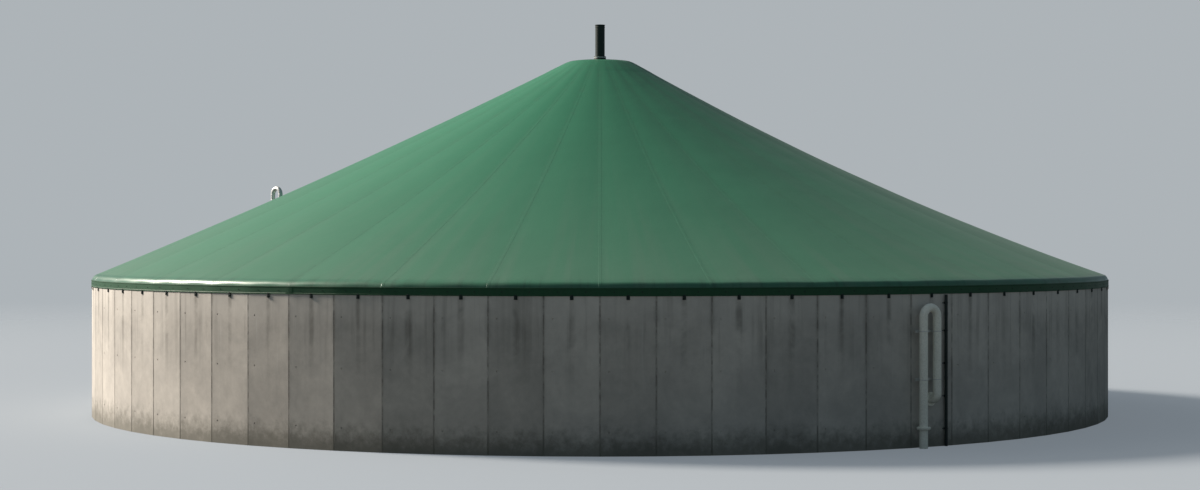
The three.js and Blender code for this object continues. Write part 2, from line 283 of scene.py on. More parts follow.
def piece(name, shape, coat, replaces=(), smooth=radians(32)):
    """Makes the object, rides it on the root body and hides the frame's pieces that it stands in
    for.
    """
    finish, slot = coat
    mesh = bpy.data.meshes.new(name)
    form = bmesh.new()
    vertices = [form.verts.new(p) for p in shape.points]
    for face in shape.faces:
        if len(set(face)) > 2:
            form.faces.new([vertices[index] for index in face])
    bmesh.ops.remove_doubles(form, verts=form.verts, dist=1e-6)
    bmesh.ops.dissolve_degenerate(form, edges=form.edges, dist=1e-7)
    bmesh.ops.recalc_face_normals(form, faces=form.faces)
    form.to_mesh(mesh)
    form.free()
    mesh.shade_smooth()
    mesh.set_sharp_from_angle(angle=smooth)
    mesh.materials.append(finish)
    made = linked(name, mesh)
    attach(made, "root")
    if replaces:
        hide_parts(*replaces)
    return made


# Finishes


class Nodes:
    """A node tree, built up from sockets and numbers."""

    def __init__(self, tree):
        self.tree = tree

    def put(self, value, socket):
        """Links a socket, or sets a number or an opaque colour."""
        if isinstance(value, bpy.types.NodeSocket):
            self.tree.links.new(value, socket)
        else:
            socket.default_value = (*value, 1.0) if socket.type == "RGBA" else value

    def add(self, kind, operation=None, *values, **named):
        node = self.tree.nodes.new(kind)
        if operation:
            node.operation = operation
        for index, value in enumerate(values):
            self.put(value, node.inputs[index])
        for name, value in named.items():
            self.put(value, node.inputs[name])
        return node

    def math(self, operation, *values):
        return self.add("ShaderNodeMath", operation, *values).outputs[0]

    def plus(self, first, second):
        return self.math("ADD", first, second)

    def minus(self, first, second):
        return self.math("SUBTRACT", first, second)

    def times(self, first, second):
        return self.math("MULTIPLY", first, second)

    def scaled(self, value, factor, base):
        return self.plus(self.times(value, factor), base)

    def about_zero(self, value, factor):
        """A number from 0 to 1 made to swing to both sides of zero."""
        return self.times(self.minus(value, 0.5), factor)

    def between(self, value, low, high):
        """0 below low, 1 above high and smooth in the middle; low may be the larger one."""
        node = self.add("ShaderNodeMapRange", None, value, low, high)
        node.interpolation_type = "SMOOTHSTEP"
        return node.outputs[0]

    def blend(self, factor, first, second, how="MIX"):
        """Two colours mixed."""
        node = self.tree.nodes.new("ShaderNodeMix")
        node.data_type = "RGBA"
        node.blend_type = how
        for index, value in ((0, factor), (6, first), (7, second)):
            self.put(value, node.inputs[index])
        return node.outputs[2]

    def mixed(self, factor, first, second):
        """Two shaders mixed."""
        return self.add("ShaderNodeMixShader", None, factor, first, second).outputs[0]

    def seen(self):
        """1 where the camera looks straight at the surface, and 0 for light that it throws."""
        return self.add("ShaderNodeLightPath").outputs["Is Camera Ray"]


class Finish(Nodes):
    """A material laid out by its place on the tank."""

    def __init__(self, name):
        self.material = bpy.data.materials.new(name)
        self.material.use_nodes = True
        super().__init__(self.material.node_tree)
        self.shader = self.tree.nodes["Principled BSDF"]
        self.place = self.add("ShaderNodeTexCoord").outputs["Object"]
        parts = self.add("ShaderNodeSeparateXYZ", Vector=self.place).outputs
        self.x, self.y, self.z = parts["X"], parts["Y"], parts["Z"]
        flat = self.add("ShaderNodeCombineXYZ", X=self.x, Y=self.y).outputs[0]
        self.radius = self.add("ShaderNodeVectorMath", "LENGTH", flat).outputs["Value"]
        self.azimuth = self.math("ARCTAN2", self.y, self.x)

    def noise(self, scale, detail, roughness, vector=None, distortion=0.0):
        return self.add("ShaderNodeTexNoise", Vector=vector or self.place, Scale=scale,
                        Detail=detail, Roughness=roughness, Distortion=distortion).outputs["Fac"]

    def runs(self, fineness, stretch, detail=4.0):
        """Noise drawn out along the slope or down the wall, with no seam round the tank."""
        across = self.math("DIVIDE", fineness, self.radius)
        along = self.times(self.plus(self.radius, self.z), stretch)
        vector = self.add("ShaderNodeCombineXYZ", X=self.times(self.x, across),
                          Y=self.times(self.y, across), Z=along).outputs[0]
        return self.noise(1.0, detail, 0.6, vector)

    def random_by(self, value, seed):
        """One random number from 0 to 1 for each whole number of value."""
        node = self.add("ShaderNodeTexWhiteNoise")
        node.noise_dimensions = "1D"
        self.put(self.plus(self.math("FLOOR", value), seed), node.inputs["W"])
        return node.outputs["Value"]

    def laid(self, over, colour, *shares):
        """One colour laid over another by the product of the shares."""
        product = shares[0]
        for factor in shares[1:]:
            product = self.times(product, factor)
        return self.blend(product, colour, over)

    def toned(self, colour, factor):
        """A colour made darker or lighter by a number."""
        grey = self.add("ShaderNodeCombineXYZ", X=factor, Y=factor, Z=factor).outputs[0]
        return self.blend(1.0, colour, grey, "MULTIPLY")

    def bump(self, height, strength, distance):
        node = self.add("ShaderNodeBump", Height=height, Strength=strength, Distance=distance)
        self.put(node.outputs[0], self.shader.inputs["Normal"])

    def done(self, colour, roughness, metallic=0.0, **others):
        self.put(colour, self.shader.inputs["Base Color"])
        self.put(roughness, self.shader.inputs["Roughness"])
        self.put(metallic, self.shader.inputs["Metallic"])
        for name, value in others.items():
            self.put(value, self.shader.inputs[name.replace("_", " ")])
        return self.material


def membrane_finish():
    f = Finish("membrane")
    green = (0.008, 0.159, 0.079)
    # The pale dust colour, also laid towards the rim as a painted sheen
    dust = (0.19, 0.178, 0.175)
    soot = (0.03, 0.055, 0.038)

    # Each gore's own tone, clouds and a fine mottle
    gore = f.math("DIVIDE", f.azimuth, GORE_ANGLE)
    fine = f.noise(6.0, 6.0, 0.65)
    tone = f.scaled(f.random_by(gore, 7.0), 0.1, 0.86)
    tone = f.plus(tone, f.times(f.noise(0.35, 5.0, 0.6), 0.14))
    tone = f.plus(tone, f.about_zero(fine, 0.1))
    colour = f.toned(green, tone)

    # A pale veil in streaks down the slope, thicker towards the rim: partly dust, partly a painted
    # sheen that stands in for the sun's glare on the lower slope
    rim_dust_and_sheen = f.math("POWER", f.math("DIVIDE", f.radius, 11.4), 2.3)
    streaks = f.between(f.runs(26.0, 0.16), 0.42, 0.72)
    colour = f.laid(dust, colour, f.scaled(rim_dust_and_sheen, 0.2, 0.02), f.scaled(streaks, 0.4, 0.82))

    # Soot beside the seams
    off_middle = f.math("ABSOLUTE", f.minus(f.math("FRACT", gore), 0.5))
    metres = f.times(f.times(f.minus(0.5, off_middle), GORE_ANGLE), f.radius)
    colour = f.laid(soot, colour, f.between(metres, 0.13, 0.03), f.between(fine, 0.35, 0.7), 0.16)

    # Soot in runs over the shoulder
    rim = f.between(f.radius, 11.75, 12.26)
    colour = f.laid(soot, colour, rim, f.between(f.runs(90.0, 0.8), 0.46, 0.75), 0.45)

    # Smoother where the cloth is drawn tight over the shoulder
    tight = f.times(f.between(f.radius, 12.02, 12.16), -0.24)
    roughness = f.plus(f.scaled(fine, 0.14, 0.54), tight)
    height = f.plus(f.noise(1.1, 3.0, 0.5), f.times(f.noise(140.0, 2.0, 0.5), 0.02))
    f.bump(height, 0.5, 0.02)
    return f.done(colour, roughness, Sheen_Weight=0.03, Sheen_Roughness=0.4,
                  Specular_IOR_Level=0.24, Coat_Weight=0.25, Coat_Roughness=0.28)


def concrete_finish():
    f = Finish("concrete")
    bright = (0.635, 0.6, 0.55)
    grey = (0.475, 0.452, 0.42)
    dark = (0.085, 0.078, 0.065)
    lime = (0.7, 0.69, 0.66)
    washed = (0.72, 0.685, 0.635)
    damp = (0.06, 0.062, 0.04)

    # Each bay's own tone, clouds and a mottle
    bay = f.math("DIVIDE", f.azimuth, BAY_ANGLE)
    clouds = f.noise(0.75, 7.0, 0.62, distortion=0.4)
    mottle = f.noise(5.0, 8.0, 0.7)
    tone = f.plus(f.scaled(f.random_by(bay, 3.0), 0.2, 0.84), f.about_zero(mottle, 0.36))
    colour = f.toned(f.blend(f.between(clouds, 0.3, 0.72), grey, bright), tone)

    # Dark runs, fine and wide
    runs = f.between(f.runs(75.0, 0.28, 6.0), 0.5, 0.74)
    wide_runs = f.between(f.runs(22.0, 0.1), 0.5, 0.7)
    both = f.plus(f.times(runs, 0.42), f.times(wide_runs, 0.3))
    colour = f.laid(dark, colour, f.between(f.z, 0.9, 3.05), both)

    # A paler strip in the hem's shelter, and drips of lime
    colour = f.laid(washed, colour, f.between(f.z, 2.35, 2.8), 0.3)
    drips = f.between(f.runs(140.0, 0.45, 5.0), 0.6, 0.78)
    colour = f.laid(lime, colour, drips, f.between(f.z, 0.3, 2.6), 0.4)

    # Stains below the tensioners and beside the joints between bays, and the joints themselves
    across = f.math("ABSOLUTE", f.minus(f.math("FRACT", bay), 0.5))
    wavy = f.plus(across, f.about_zero(f.runs(30.0, 0.8), 0.09))
    below_lug = f.times(f.between(wavy, 0.085, 0.015), f.between(f.z, 0.9, 2.85))
    beside_joint = f.times(f.between(wavy, 0.425, 0.49), f.between(f.z, 0.2, 2.9))
    stain = f.plus(f.times(below_lug, 0.5), f.times(beside_joint, 0.3))
    colour = f.laid(dark, colour, stain, f.between(clouds, 0.62, 0.4))
    joint = f.between(across, 0.47, 0.496)
    colour = f.laid(dark, colour, joint, f.between(mottle, 0.35, 0.6), 0.55)

    # The damp foot
    foot = f.between(f.plus(f.z, f.about_zero(mottle, 0.75)), 0.62, 0.05)
    colour = f.laid(damp, colour, foot, 0.62)

    # Pores in patches
    pores = f.add("ShaderNodeTexVoronoi", Vector=f.place, Scale=48.0).outputs["Distance"]
    patches = f.between(f.noise(7.0, 3.0, 0.6), 0.5, 0.6)
    pits = f.times(f.between(pores, 0.17, 0.07), patches)
    f.bump(f.minus(f.times(mottle, 0.7), f.times(pits, 0.3)), 0.6, 0.006)
    return f.done(colour, f.minus(0.95, f.times(foot, 0.15)), Specular_IOR_Level=0.3)


def painted_finish(name, paint, dust, roughness):
    """Dark paint on steel, with dust on what faces up and rain marks."""
    f = Finish(name)
    fine = f.noise(14.0, 6.0, 0.65)
    colour = f.toned(paint, f.scaled(fine, 0.5, 0.75))
    facing = f.add("ShaderNodeNewGeometry").outputs["Normal"]
    up = f.add("ShaderNodeSeparateXYZ", Vector=facing).outputs["Z"]
    marks = f.between(f.runs(160.0, 1.5), 0.45, 0.75)
    dirt = f.plus(f.times(f.between(up, 0.2, 0.9), 0.5), f.times(marks, 0.18))
    colour = f.laid(dust, colour, dirt)
    f.bump(fine, 0.25, 0.002)
    return f.done(colour, f.scaled(fine, 0.2, roughness), Specular_IOR_Level=0.3)


def galvanized_finish(name, zinc, metallic, stained):
    """Hot-dip zinc with its spangle and some brown stains."""
    f = Finish(name)
    cells = f.add("ShaderNodeTexVoronoi", Vector=f.place, Scale=55.0)
    spangle = f.add("ShaderNodeSeparateColor", Color=cells.outputs["Color"]).outputs[0]
    cloud = f.noise(4.0, 5.0, 0.6)
    tone = f.plus(f.scaled(spangle, 0.14, 0.8), f.times(cloud, 0.16))
    stain = f.between(f.noise(9.0, 7.0, 0.7), 0.6, 0.8)
    colour = f.laid((0.24, 0.17, 0.11), f.toned(zinc, tone), stain, stained)
    f.bump(cloud, 0.2, 0.002)
    return f.done(colour, f.scaled(spangle, 0.15, 0.42), metallic=metallic)


# Each finish, with the material slot that it shows
MEMBRANE = membrane_finish(), "membrane"
CONCRETE = concrete_finish(), "concrete"
BAND_PAINT = painted_finish(
    "hem_band", (0.009, 0.072, 0.029), (0.05, 0.076, 0.054), 0.46), "hem_band"
DARK_STEEL = painted_finish(
    "dark_steel", (0.008, 0.02, 0.018), (0.05, 0.058, 0.052), 0.48), "dark_steel"
DUCT_GREY = painted_finish(
    "duct_grey", (0.024, 0.034, 0.034), (0.06, 0.066, 0.06), 0.48), "dark_steel"
GALVANIZED = galvanized_finish("galvanized", (0.66, 0.67, 0.665), 0.55, 0.45), "galvanized_steel"
CHALKY_ZINC = galvanized_finish("chalky_zinc", (0.97, 0.96, 0.86), 0.0, 0.12), "galvanized_steel"


# Roof membrane

FOOT_TURN = pi / 2 - FOOT_SLOPE
FOOT_RADIUS = SKIN_RADIUS - SHOULDER_RADIUS * (1 - cos(FOOT_TURN))
FOOT_HEIGHT = SHOULDER_START + SHOULDER_RADIUS * sin(FOOT_TURN)
CONE_RUN = FOOT_RADIUS - CROWN_RADIUS
CONE_RISE = CROWN_HEIGHT - FOOT_HEIGHT
CROWN_ROUND = 0.11

# Where the skin has its rings of points, and how many it has round the tank
SKIRT_LEVELS = (SKIRT_BOTTOM, 3.05, 3.10, SHOULDER_START)
SHOULDER_STEPS = 8
CONE_STEPS = 62
CROWN_STEPS = 5
CROWN_RINGS = (0.45, 0.24, 0.15)
SKIN_SIDES = 432
SKIN_SMOOTH = radians(60)

# The cloth's relief, which grows upwards from the band's top and outwards from the crown
RELIEF_START = 0.01
FREE_RISE = 0.30
FREE_FROM_CROWN = 0.5
RELIEF_MEAN = 0.004
FLUTE_LEAST = 0.0030
FLUTE_GROWTH = 0.0060
FLUTE_FULL_RADIUS = 8.0
PUCKER_DEPTH = 0.0040
PUCKER_START = 0.06
PUCKER_REACH = 0.16
PUCKER_MEAN = 0.3
SLACK_DEPTH = 0.006
SLACK_SCALE = 0.55

# Layers welded on: their edges are sunk into the skin
SUNK = -0.001
SEAM_HALF = 0.032
SEAM_SHARE = 0.20
SEAM_EDGE = 0.005
SEAM_LIFT = 0.0014
PATCH_RADIUS = 1.45
PATCH_LIFT = 0.0048
PATCH_SIDES = 144


def hang(radius):
    along = share((radius - CROWN_RADIUS) / CONE_RUN)
    return 4 * along * (1 - along)


def cone_height(radius):
    along = (radius - CROWN_RADIUS) / CONE_RUN
    return CROWN_HEIGHT - CONE_RISE * along - SAG_MEAN * CONE_RISE * hang(radius)


def roof_stations():
    """The roof's outline from the skirt's lower edge to the hole at the crown."""
    outline = [(SKIN_RADIUS, height) for height in SKIRT_LEVELS]
    outline += shoulder(SKIN_RADIUS, SHOULDER_START, SHOULDER_RADIUS, FOOT_TURN, SHOULDER_STEPS)
    last = CROWN_RADIUS + CROWN_ROUND
    for step in range(1, CONE_STEPS + 1):
        radius = FOOT_RADIUS + (last - FOOT_RADIUS) * step / CONE_STEPS
        outline.append((radius, cone_height(radius)))
    start, corner = Vector(outline[-1]), Vector((CROWN_RADIUS, CROWN_HEIGHT))
    finish = Vector((CROWN_RADIUS - CROWN_ROUND, CROWN_HEIGHT))
    for step in range(1, CROWN_STEPS + 1):
        t = step / CROWN_STEPS
        place = start * (1 - t) ** 2 + corner * 2 * t * (1 - t) + finish * t ** 2
        outline.append((place.x, place.y))
    return outline + [(radius, CROWN_HEIGHT) for radius in CROWN_RINGS]


OUTLINE = roof_stations()


def outline_normal(index):
    before = Vector(OUTLINE[max(index - 1, 0)])
    after = Vector(OUTLINE[min(index + 1, len(OUTLINE) - 1)])
    along = (after - before).normalized()
    return Vector((along.y, -along.x))


def bay_shape(azimuth):
    """A flat bay's distance from the axis, as a share of the distance at its edges."""
    return BAY_FLATNESS / cos(azimuth % BAY_ANGLE - BAY_ANGLE / 2)


def relief(azimuth, radius, height):
    """How far the cloth stands off its even surface: shallow flutes, hem puckers, slackness."""
    rise = height - BAND_TOP + RELIEF_START
    if rise <= 0:
        return 0.0
    free = min(rise / FREE_RISE, 1.0)
    on_crown = share((radius - CROWN_RADIUS) / FREE_FROM_CROWN)
    across = abs(sin(azimuth / GORE_ANGLE * pi))
    grown = min(radius / FLUTE_FULL_RADIUS, 1.0)
    flute = on_crown * (FLUTE_LEAST + FLUTE_GROWTH * grown) * across
    pucker = PUCKER_DEPTH * min(rise / PUCKER_START, 1.0) * exp(-rise / PUCKER_REACH)
    pucker *= cos(azimuth * BAYS) - PUCKER_MEAN
    place = Vector(polar(radius, azimuth, height)) * SLACK_SCALE
    slack = SLACK_DEPTH * on_crown * noise.noise(place)
    return free * (flute + slack - RELIEF_MEAN) - pucker


def skin_point(azimuth, index, lift=0.0, shift=0.0):
    """A point of the roof's skin; shift moves it sideways by a distance in metres."""
    radius, height = OUTLINE[index]
    normal = outline_normal(index)
    off = relief(azimuth, radius, height) + lift
    lean = SAG_LEAN * CONE_RISE * hang(radius) * cos(azimuth)
    held_flat = share((FOOT_HEIGHT - height) / (FOOT_HEIGHT - BAND_TOP))
    radius = (radius + normal.x * off) * (1 + held_flat * (bay_shape(azimuth) - 1))
    height += normal.y * off - lean
    side = Vector((-sin(azimuth), cos(azimuth), 0)) * shift
    return Vector(polar(radius, azimuth, height)) + side


def make_roof_skin():
    count = len(OUTLINE)
    azimuths = turns(SKIN_SIDES)
    outside = [skin_point(a, index) for index in range(count) for a in azimuths]
    inside = [skin_point(a, index, -CLOTH) for index in reversed(range(count)) for a in azimuths]
    faces = lattice(2 * count, SKIN_SIDES, ring=True)
    shape = Shape().add((outside + inside, faces))
    return piece("roof_skin", shape, MEMBRANE, ["roof_membrane"], SKIN_SMOOTH)


def make_roof_seams():
    """The welded overlap along each gore edge, from the shoulder's foot to the crown's edge."""
    shape = Shape()
    stations = range(len(SKIRT_LEVELS), len(OUTLINE) - len(CROWN_RINGS) - CROWN_STEPS + 1)
    for gore in range(GORES):
        points = []
        for index in stations:
            half = min(SEAM_HALF, SEAM_SHARE * OUTLINE[index][0] * GORE_ANGLE)
            for shift, lift in ((-half, SUNK), (-half + SEAM_EDGE, SEAM_LIFT),
                                (half - SEAM_EDGE, SEAM_LIFT), (half, SUNK)):
                points.append(skin_point(gore * GORE_ANGLE, index, lift, shift))
        shape.add((points, bar(len(stations), 4)))
    return piece("roof_seams", shape, MEMBRANE, smooth=radians(9.5))


def make_crown_patch():
    """A second layer welded on round the crown, in a ring."""
    outer = next(i for i, (radius, _) in enumerate(OUTLINE) if radius < PATCH_RADIUS)
    rows = list(range(outer, len(OUTLINE)))
    lifts = [SUNK] + [PATCH_LIFT] * (len(rows) - 1)
    azimuths = turns(PATCH_SIDES)
    points = [skin_point(a, index, lift) for index, lift in zip(rows, lifts) for a in azimuths]
    points += [skin_point(a, index, SUNK) for index in reversed(rows[1:]) for a in azimuths]
    faces = lattice(2 * len(rows) - 1, PATCH_SIDES, ring=True)
    return piece("crown_patch", Shape().add((points, faces)), MEMBRANE, smooth=SKIN_SMOOTH)


make_roof_skin()
make_roof_seams()
make_crown_patch()


# Crown boot, mast and cap

ROUND_SIDES = 64
MAST_RADIUS = 0.2
MAST_FOOT_RADIUS = 0.42


def make_mast():
    foot = FLOOR_THICKNESS + GAP
    neck = CROWN_HEIGHT - CAD_MEMBRANE - DISC_THICKNESS - 2 * GAP
    bead = STUB_RADIUS + 0.004
    piece("mast_tube", Shape().add(turned([
        (0, foot), (MAST_FOOT_RADIUS, foot), (MAST_FOOT_RADIUS, foot + 0.037),
        (MAST_FOOT_RADIUS - 0.003, foot + 0.040), (MAST_RADIUS, foot + 0.040),
        (MAST_RADIUS, neck), (STUB_RADIUS, neck), (STUB_RADIUS, STUB_TOP - 0.055),
        (bead, STUB_TOP - 0.050), (bead, STUB_TOP - 0.040), (STUB_RADIUS, STUB_TOP - 0.035),
        (STUB_RADIUS, STUB_TOP), (0, STUB_TOP),
    ], ROUND_SIDES)), DARK_STEEL, ["centre_mast"])


def make_cap():
    piece("pipe_lid", Shape().add(turned([
        (0, 0), (0.127, 0), (0.128, 0.002), (0.128, 0.009), (0.125, 0.012), (0.060, 0.014),
        (0, 0.014),
    ], ROUND_SIDES), at(0, 0, STUB_TOP + GAP)), DARK_STEEL, ["mast_cap"])


def make_crown_ring():
    """The flanged collar that clamps the cloth round the pipe, with its bolts and band."""
    low = CROWN_HEIGHT + GAP
    place = at(0, 0, low)
    inner = STUB_RADIUS + GAP
    shape = Shape().add(turned([
        (inner, 0), (0.260, 0), (0.260, 0.012), (0.258, 0.014), (0.205, 0.014), (0.180, 0.019),
        (0.162, 0.032), (0.152, 0.052), (0.148, 0.080), (0.148, 0.127), (0.145, 0.130),
        (inner, 0.130),
    ], ROUND_SIDES, ring=True), place)
    add_lid_bolts(shape, 0.008, 0.234, low + 0.0135)
    piece("crown_ring", shape, DARK_STEEL, ["crown_collar"])

    clamp = Shape().add(turned([
        (0.1475, 0.094), (0.1510, 0.095), (0.1510, 0.109), (0.1475, 0.110),
    ], ROUND_SIDES, ring=True), place)
    clamp.add(block((0.148, -0.020, 0.092), (0.166, 0.020, 0.112)), place @ around(radians(250)))
    piece("crown_clamp", clamp, GALVANIZED)


make_mast()
make_cap()
make_crown_ring()


# Ring wall

INNER_RADIUS = WALL_RADIUS - WALL_THICKNESS
JOINT_DEPTH = 0.006
JOINT_HALF = 0.010
TIE_ACROSS = 0.17
TIE_CELL = 0.055
TIE_HEIGHTS = (0.45, 1.60, 2.60)
TIE_RADIUS = 0.018
TIE_TAPER = 0.72
TIE_DEPTH = 0.012
TIE_SIDES = 16
# The wall's top is rounded under the membrane, and its nose ends just short of the cone
NOSE_RADIUS = SHOULDER_RADIUS - CAD_MEMBRANE - GAP
NOSE_START = SHOULDER_START - 0.012
NOSE_TURN = FOOT_TURN * 0.97
NOSE_STEPS = 5

# Places across a bay where its section changes, with how far the joint cuts in there. The cell
# of a tie hole starts at the mark TIE_MARK.
BAY_MARKS = ((0.0, JOINT_DEPTH), (JOINT_HALF, 0.0), (TIE_ACROSS - TIE_CELL, 0.0),
             (TIE_ACROSS + TIE_CELL, 0.0), (BAY_WIDTH - JOINT_HALF, 0.0))
TIE_MARK = 2
FACE_HEIGHTS = [0.0, *(height + off for height in TIE_HEIGHTS for off in (-TIE_CELL, TIE_CELL)),
                NOSE_START]


def wall_section(fraction, recess):
    """The wall's outline at a place across a bay: up outside, over the nose, down inside."""
    half = BAY_ANGLE / 2
    across = (2 * fraction - 1) * tan(half)
    place = half + atan(across)
    stretch = BAY_FLATNESS / cos(place - half)
    face = WALL_RADIUS * stretch - recess
    outside = [(face, height) for height in FACE_HEIGHTS]
    outside += shoulder(face, NOSE_START, NOSE_RADIUS, NOSE_TURN, NOSE_STEPS)
    inside = [(INNER_RADIUS * stretch, height) for height in (outside[-1][1], 0.0)]
    return place, outside + inside


def tie_hole(corners):
    """A square of wall with a shallow plugged cone in it."""
    a, b, c, d = (Vector(corner) for corner in corners)
    middle = (a + b + c + d) / 4
    across, up = (b - a).normalized(), (d - a).normalized()
    inwards = -across.cross(up)
    points = [a, b, c, d]
    for radius, depth in ((TIE_RADIUS, 0.0), (TIE_RADIUS * TIE_TAPER, TIE_DEPTH)):
        for angle in turns(TIE_SIDES, 0.5):
            points.append(middle + across * radius * cos(angle)
                          + up * radius * sin(angle) + inwards * depth)
    rim = 4
    faces = [[rim + index for index in face] for face in lattice(2, TIE_SIDES)]
    for quarter in range(4):
        corner, next_corner = (quarter + 2) % 4, (quarter + 3) % 4
        first = quarter * TIE_SIDES // 4
        last = first + TIE_SIDES // 4 - 1
        faces += [[corner, rim + side, rim + side + 1] for side in range(first, last)]
        faces.append([corner, rim + last, rim + (last + 1) % TIE_SIDES, next_corner])
    faces.append([rim + TIE_SIDES + side for side in range(TIE_SIDES)])
    return points, faces


def make_wall_panel(number):
    start = (number - 1) * PANEL_BAYS * BAY_ANGLE
    stations = [(bay, across / BAY_WIDTH, recess)
                for bay in range(PANEL_BAYS) for across, recess in BAY_MARKS]
    stations.append((PANEL_BAYS - 1, 1.0, JOINT_DEPTH))
    points = []
    for bay, fraction, recess in stations:
        place, section = wall_section(fraction, recess)
        azimuth = start + bay * BAY_ANGLE + place
        points += [polar(radius, azimuth, height) for radius, height in section]
    size = len(section)
    tie_rows = range(1, 2 * len(TIE_HEIGHTS), 2)
    faces, ties = [], []
    for face in bar(len(stations), size):
        row, column = divmod(face[0], size)
        if len(face) == 4 and row % len(BAY_MARKS) == TIE_MARK and column in tie_rows:
            ties.append([points[face[index]] for index in (0, 3, 2, 1)])
        else:
            faces.append(face)
    shape = Shape().add((points, faces))
    for corners in ties:
        shape.add(tie_hole(corners))
    piece(f"wall_face_{number:02d}", shape, CONCRETE, [f"wall_panel_{number:02d}"], radians(4))


for panel_number in range(1, PANELS + 1):
    make_wall_panel(panel_number)


# Hem band and its tensioners

WEB_FACE = (BAND_BACK + BAND_WEB) * BAY_FLATNESS
LIP_FACE = BAND_FRONT * BAY_FLATNESS
LIP_EDGE = 0.003
SPLICE_HALF = 0.09
SPLICE_THICKNESS = 0.004
SPLICE_MARGIN = 0.004
SPLICE_BOLTS_APART = 0.030
ANGLE_HALF = 0.035
ANGLE_HEIGHT = 0.068
ANGLE_THICKNESS = 0.006
ANGLE_BOLT_OFFSET = 0.022
SHELF_HALF = 0.030
STRAP_HALF = 0.025
STRAP_THICKNESS = 0.005


def band_section():
    """The band's outline: a flat strip with a raised lip along each edge."""
    web, lip = BAND_BACK + BAND_WEB, BAND_BOTTOM + BAND_LIP
    lower = [(BAND_BACK, BAND_BOTTOM), (BAND_FRONT - LIP_EDGE, BAND_BOTTOM),
             (BAND_FRONT, BAND_BOTTOM + LIP_EDGE), (BAND_FRONT, lip - LIP_EDGE),
             (BAND_FRONT - LIP_EDGE, lip), (web, lip + LIP_EDGE)]
    return lower + [(radius, 2 * BAND_MIDDLE - height) for radius, height in reversed(lower)]


def make_band(number):
    start = (number - 1) * BAND_SPAN
    section = band_section()
    points = []
    for step in range(BAYS + 1):
        azimuth = start + BAND_SPAN * step / BAYS
        points += [polar(radius * bay_shape(azimuth), azimuth, height)
                   for radius, height in section]
    shape = Shape().add((points, bar(BAYS + 1, len(section))))
    low = BAND_BOTTOM + BAND_LIP + SPLICE_MARGIN
    high = BAND_TOP - BAND_LIP - SPLICE_MARGIN
    for side in (-1, 1):
        ends = sorted((-side * BAY_WIDTH / 2, side * (SPLICE_HALF - BAY_WIDTH / 2)))
        half = block((WEB_FACE, ends[0], low), (WEB_FACE + SPLICE_THICKNESS, ends[1], high), 0.001)
        shape.add(half, around(start + side * BAY_ANGLE / 2))
    piece(f"hem_rail_{number}", shape, BAND_PAINT, [f"hem_band_{number}"])


def tensioner():
    """One hem tensioner at azimuth 0: an anchored wall angle, a strap and its bolts."""
    strap_back = LIP_FACE + 0.0003
    pull = LUG_BOTTOM + 0.030
    shape = Shape().add(block((BACK, -ANGLE_HALF, LUG_BOTTOM),
                              (BACK + ANGLE_THICKNESS, ANGLE_HALF, LUG_BOTTOM + ANGLE_HEIGHT)))
    shape.add(block((BACK + 0.004, -SHELF_HALF, LUG_BOTTOM),
                    (strap_back, SHELF_HALF, LUG_BOTTOM + 0.008)))
    shape.add(block((strap_back, -STRAP_HALF, LUG_BOTTOM),
                    (strap_back + STRAP_THICKNESS, STRAP_HALF, BAND_BOTTOM + BAND_LIP)))
    for height in (BAND_BOTTOM + 0.010, pull):
        shape.add(bolt_head(0.007), at(strap_back + STRAP_THICKNESS - 0.001, 0, height))
    shape.add(rod((strap_back, 0, pull), (BACK, 0, pull), 0.005, 8))
    for side in (-ANGLE_BOLT_OFFSET, ANGLE_BOLT_OFFSET):
        shape.add(bolt_head(0.006), at(BACK + ANGLE_THICKNESS, side, LUG_BOTTOM + 0.048))
    return shape.points, shape.faces


def make_tensioners(number):
    start = (number - 1) * BAND_SPAN
    shape = Shape()
    one = tensioner()
    web_bolt, splice_bolt = bolt_head(0.0065), bolt_head(0.0045)
    for bay in range(BAYS // BANDS):
        place = around(start + (bay + 0.5) * BAY_ANGLE)
        shape.add(one, place)
        for side in (-BAY_WIDTH / 4, BAY_WIDTH / 4):
            shape.add(web_bolt, place @ at(WEB_FACE, side, BAND_MIDDLE))
    for side in (-1, 1):
        place = around(start + side * BAY_ANGLE / 2)
        across = side * (SPLICE_HALF * 0.6 - BAY_WIDTH / 2)
        for off in (-SPLICE_BOLTS_APART, SPLICE_BOLTS_APART):
            shape.add(splice_bolt,
                      place @ at(WEB_FACE + SPLICE_THICKNESS, across, BAND_MIDDLE + off))
    piece(f"hem_tensioners_{number}", shape, DARK_STEEL, [f"hem_band_{number}"])


for band_number in range(1, BANDS + 1):
    make_band(band_number)
    make_tensioners(band_number)


# Fittings on the wall, made at azimuth 0 and then turned into place

PIPE_SIDES = 32
WELD_RADIUS = 0.004
WALL_WELD = BACK + 0.024
GASKET_HALF = 0.002


def placed(name, shape, azimuth, coat, replaces, sideways=0.0):
    moved = Shape().add((shape.points, shape.faces), around(azimuth) @ at(0, sideways, 0))
    piece(name, moved, coat, replaces)


def bolted_flange(radius, thickness, bolt_radius):
    """A round plate that stands out along +X, with eight bolts near its edge."""
    shape = Shape().add(disc(radius, thickness, 48, 0.002))
    head = bolt_head(bolt_radius)
    for turn in turns(8, 0.5):
        across, up, _ = polar(radius - bolt_radius * 2.2, turn, 0)
        shape.add(head, at(thickness - BOLT_SINK, across, up))
    return shape.points, shape.faces


def add_flange_pair(shape, flange, x, y, height):
    """Two flanges back to back on an upright pipe, with a gasket's gap between them."""
    shape.add(flange, at(x, y, height + GASKET_HALF) @ UPWARDS)
    shape.add(flange, at(x, y, height - GASKET_HALF) @ DOWNWARDS)


def add_weld(shape, radius, x, y, z, along=UP):
    """A bead round a pipe."""
    path = [polar(radius, angle, 0) for angle in turns(PIPE_SIDES)]
    turn = UP.rotation_difference(along).to_matrix().to_4x4()
    shape.add(swept(path, circle(WELD_RADIUS, 8), ring=True), at(x, y, z) @ turn)


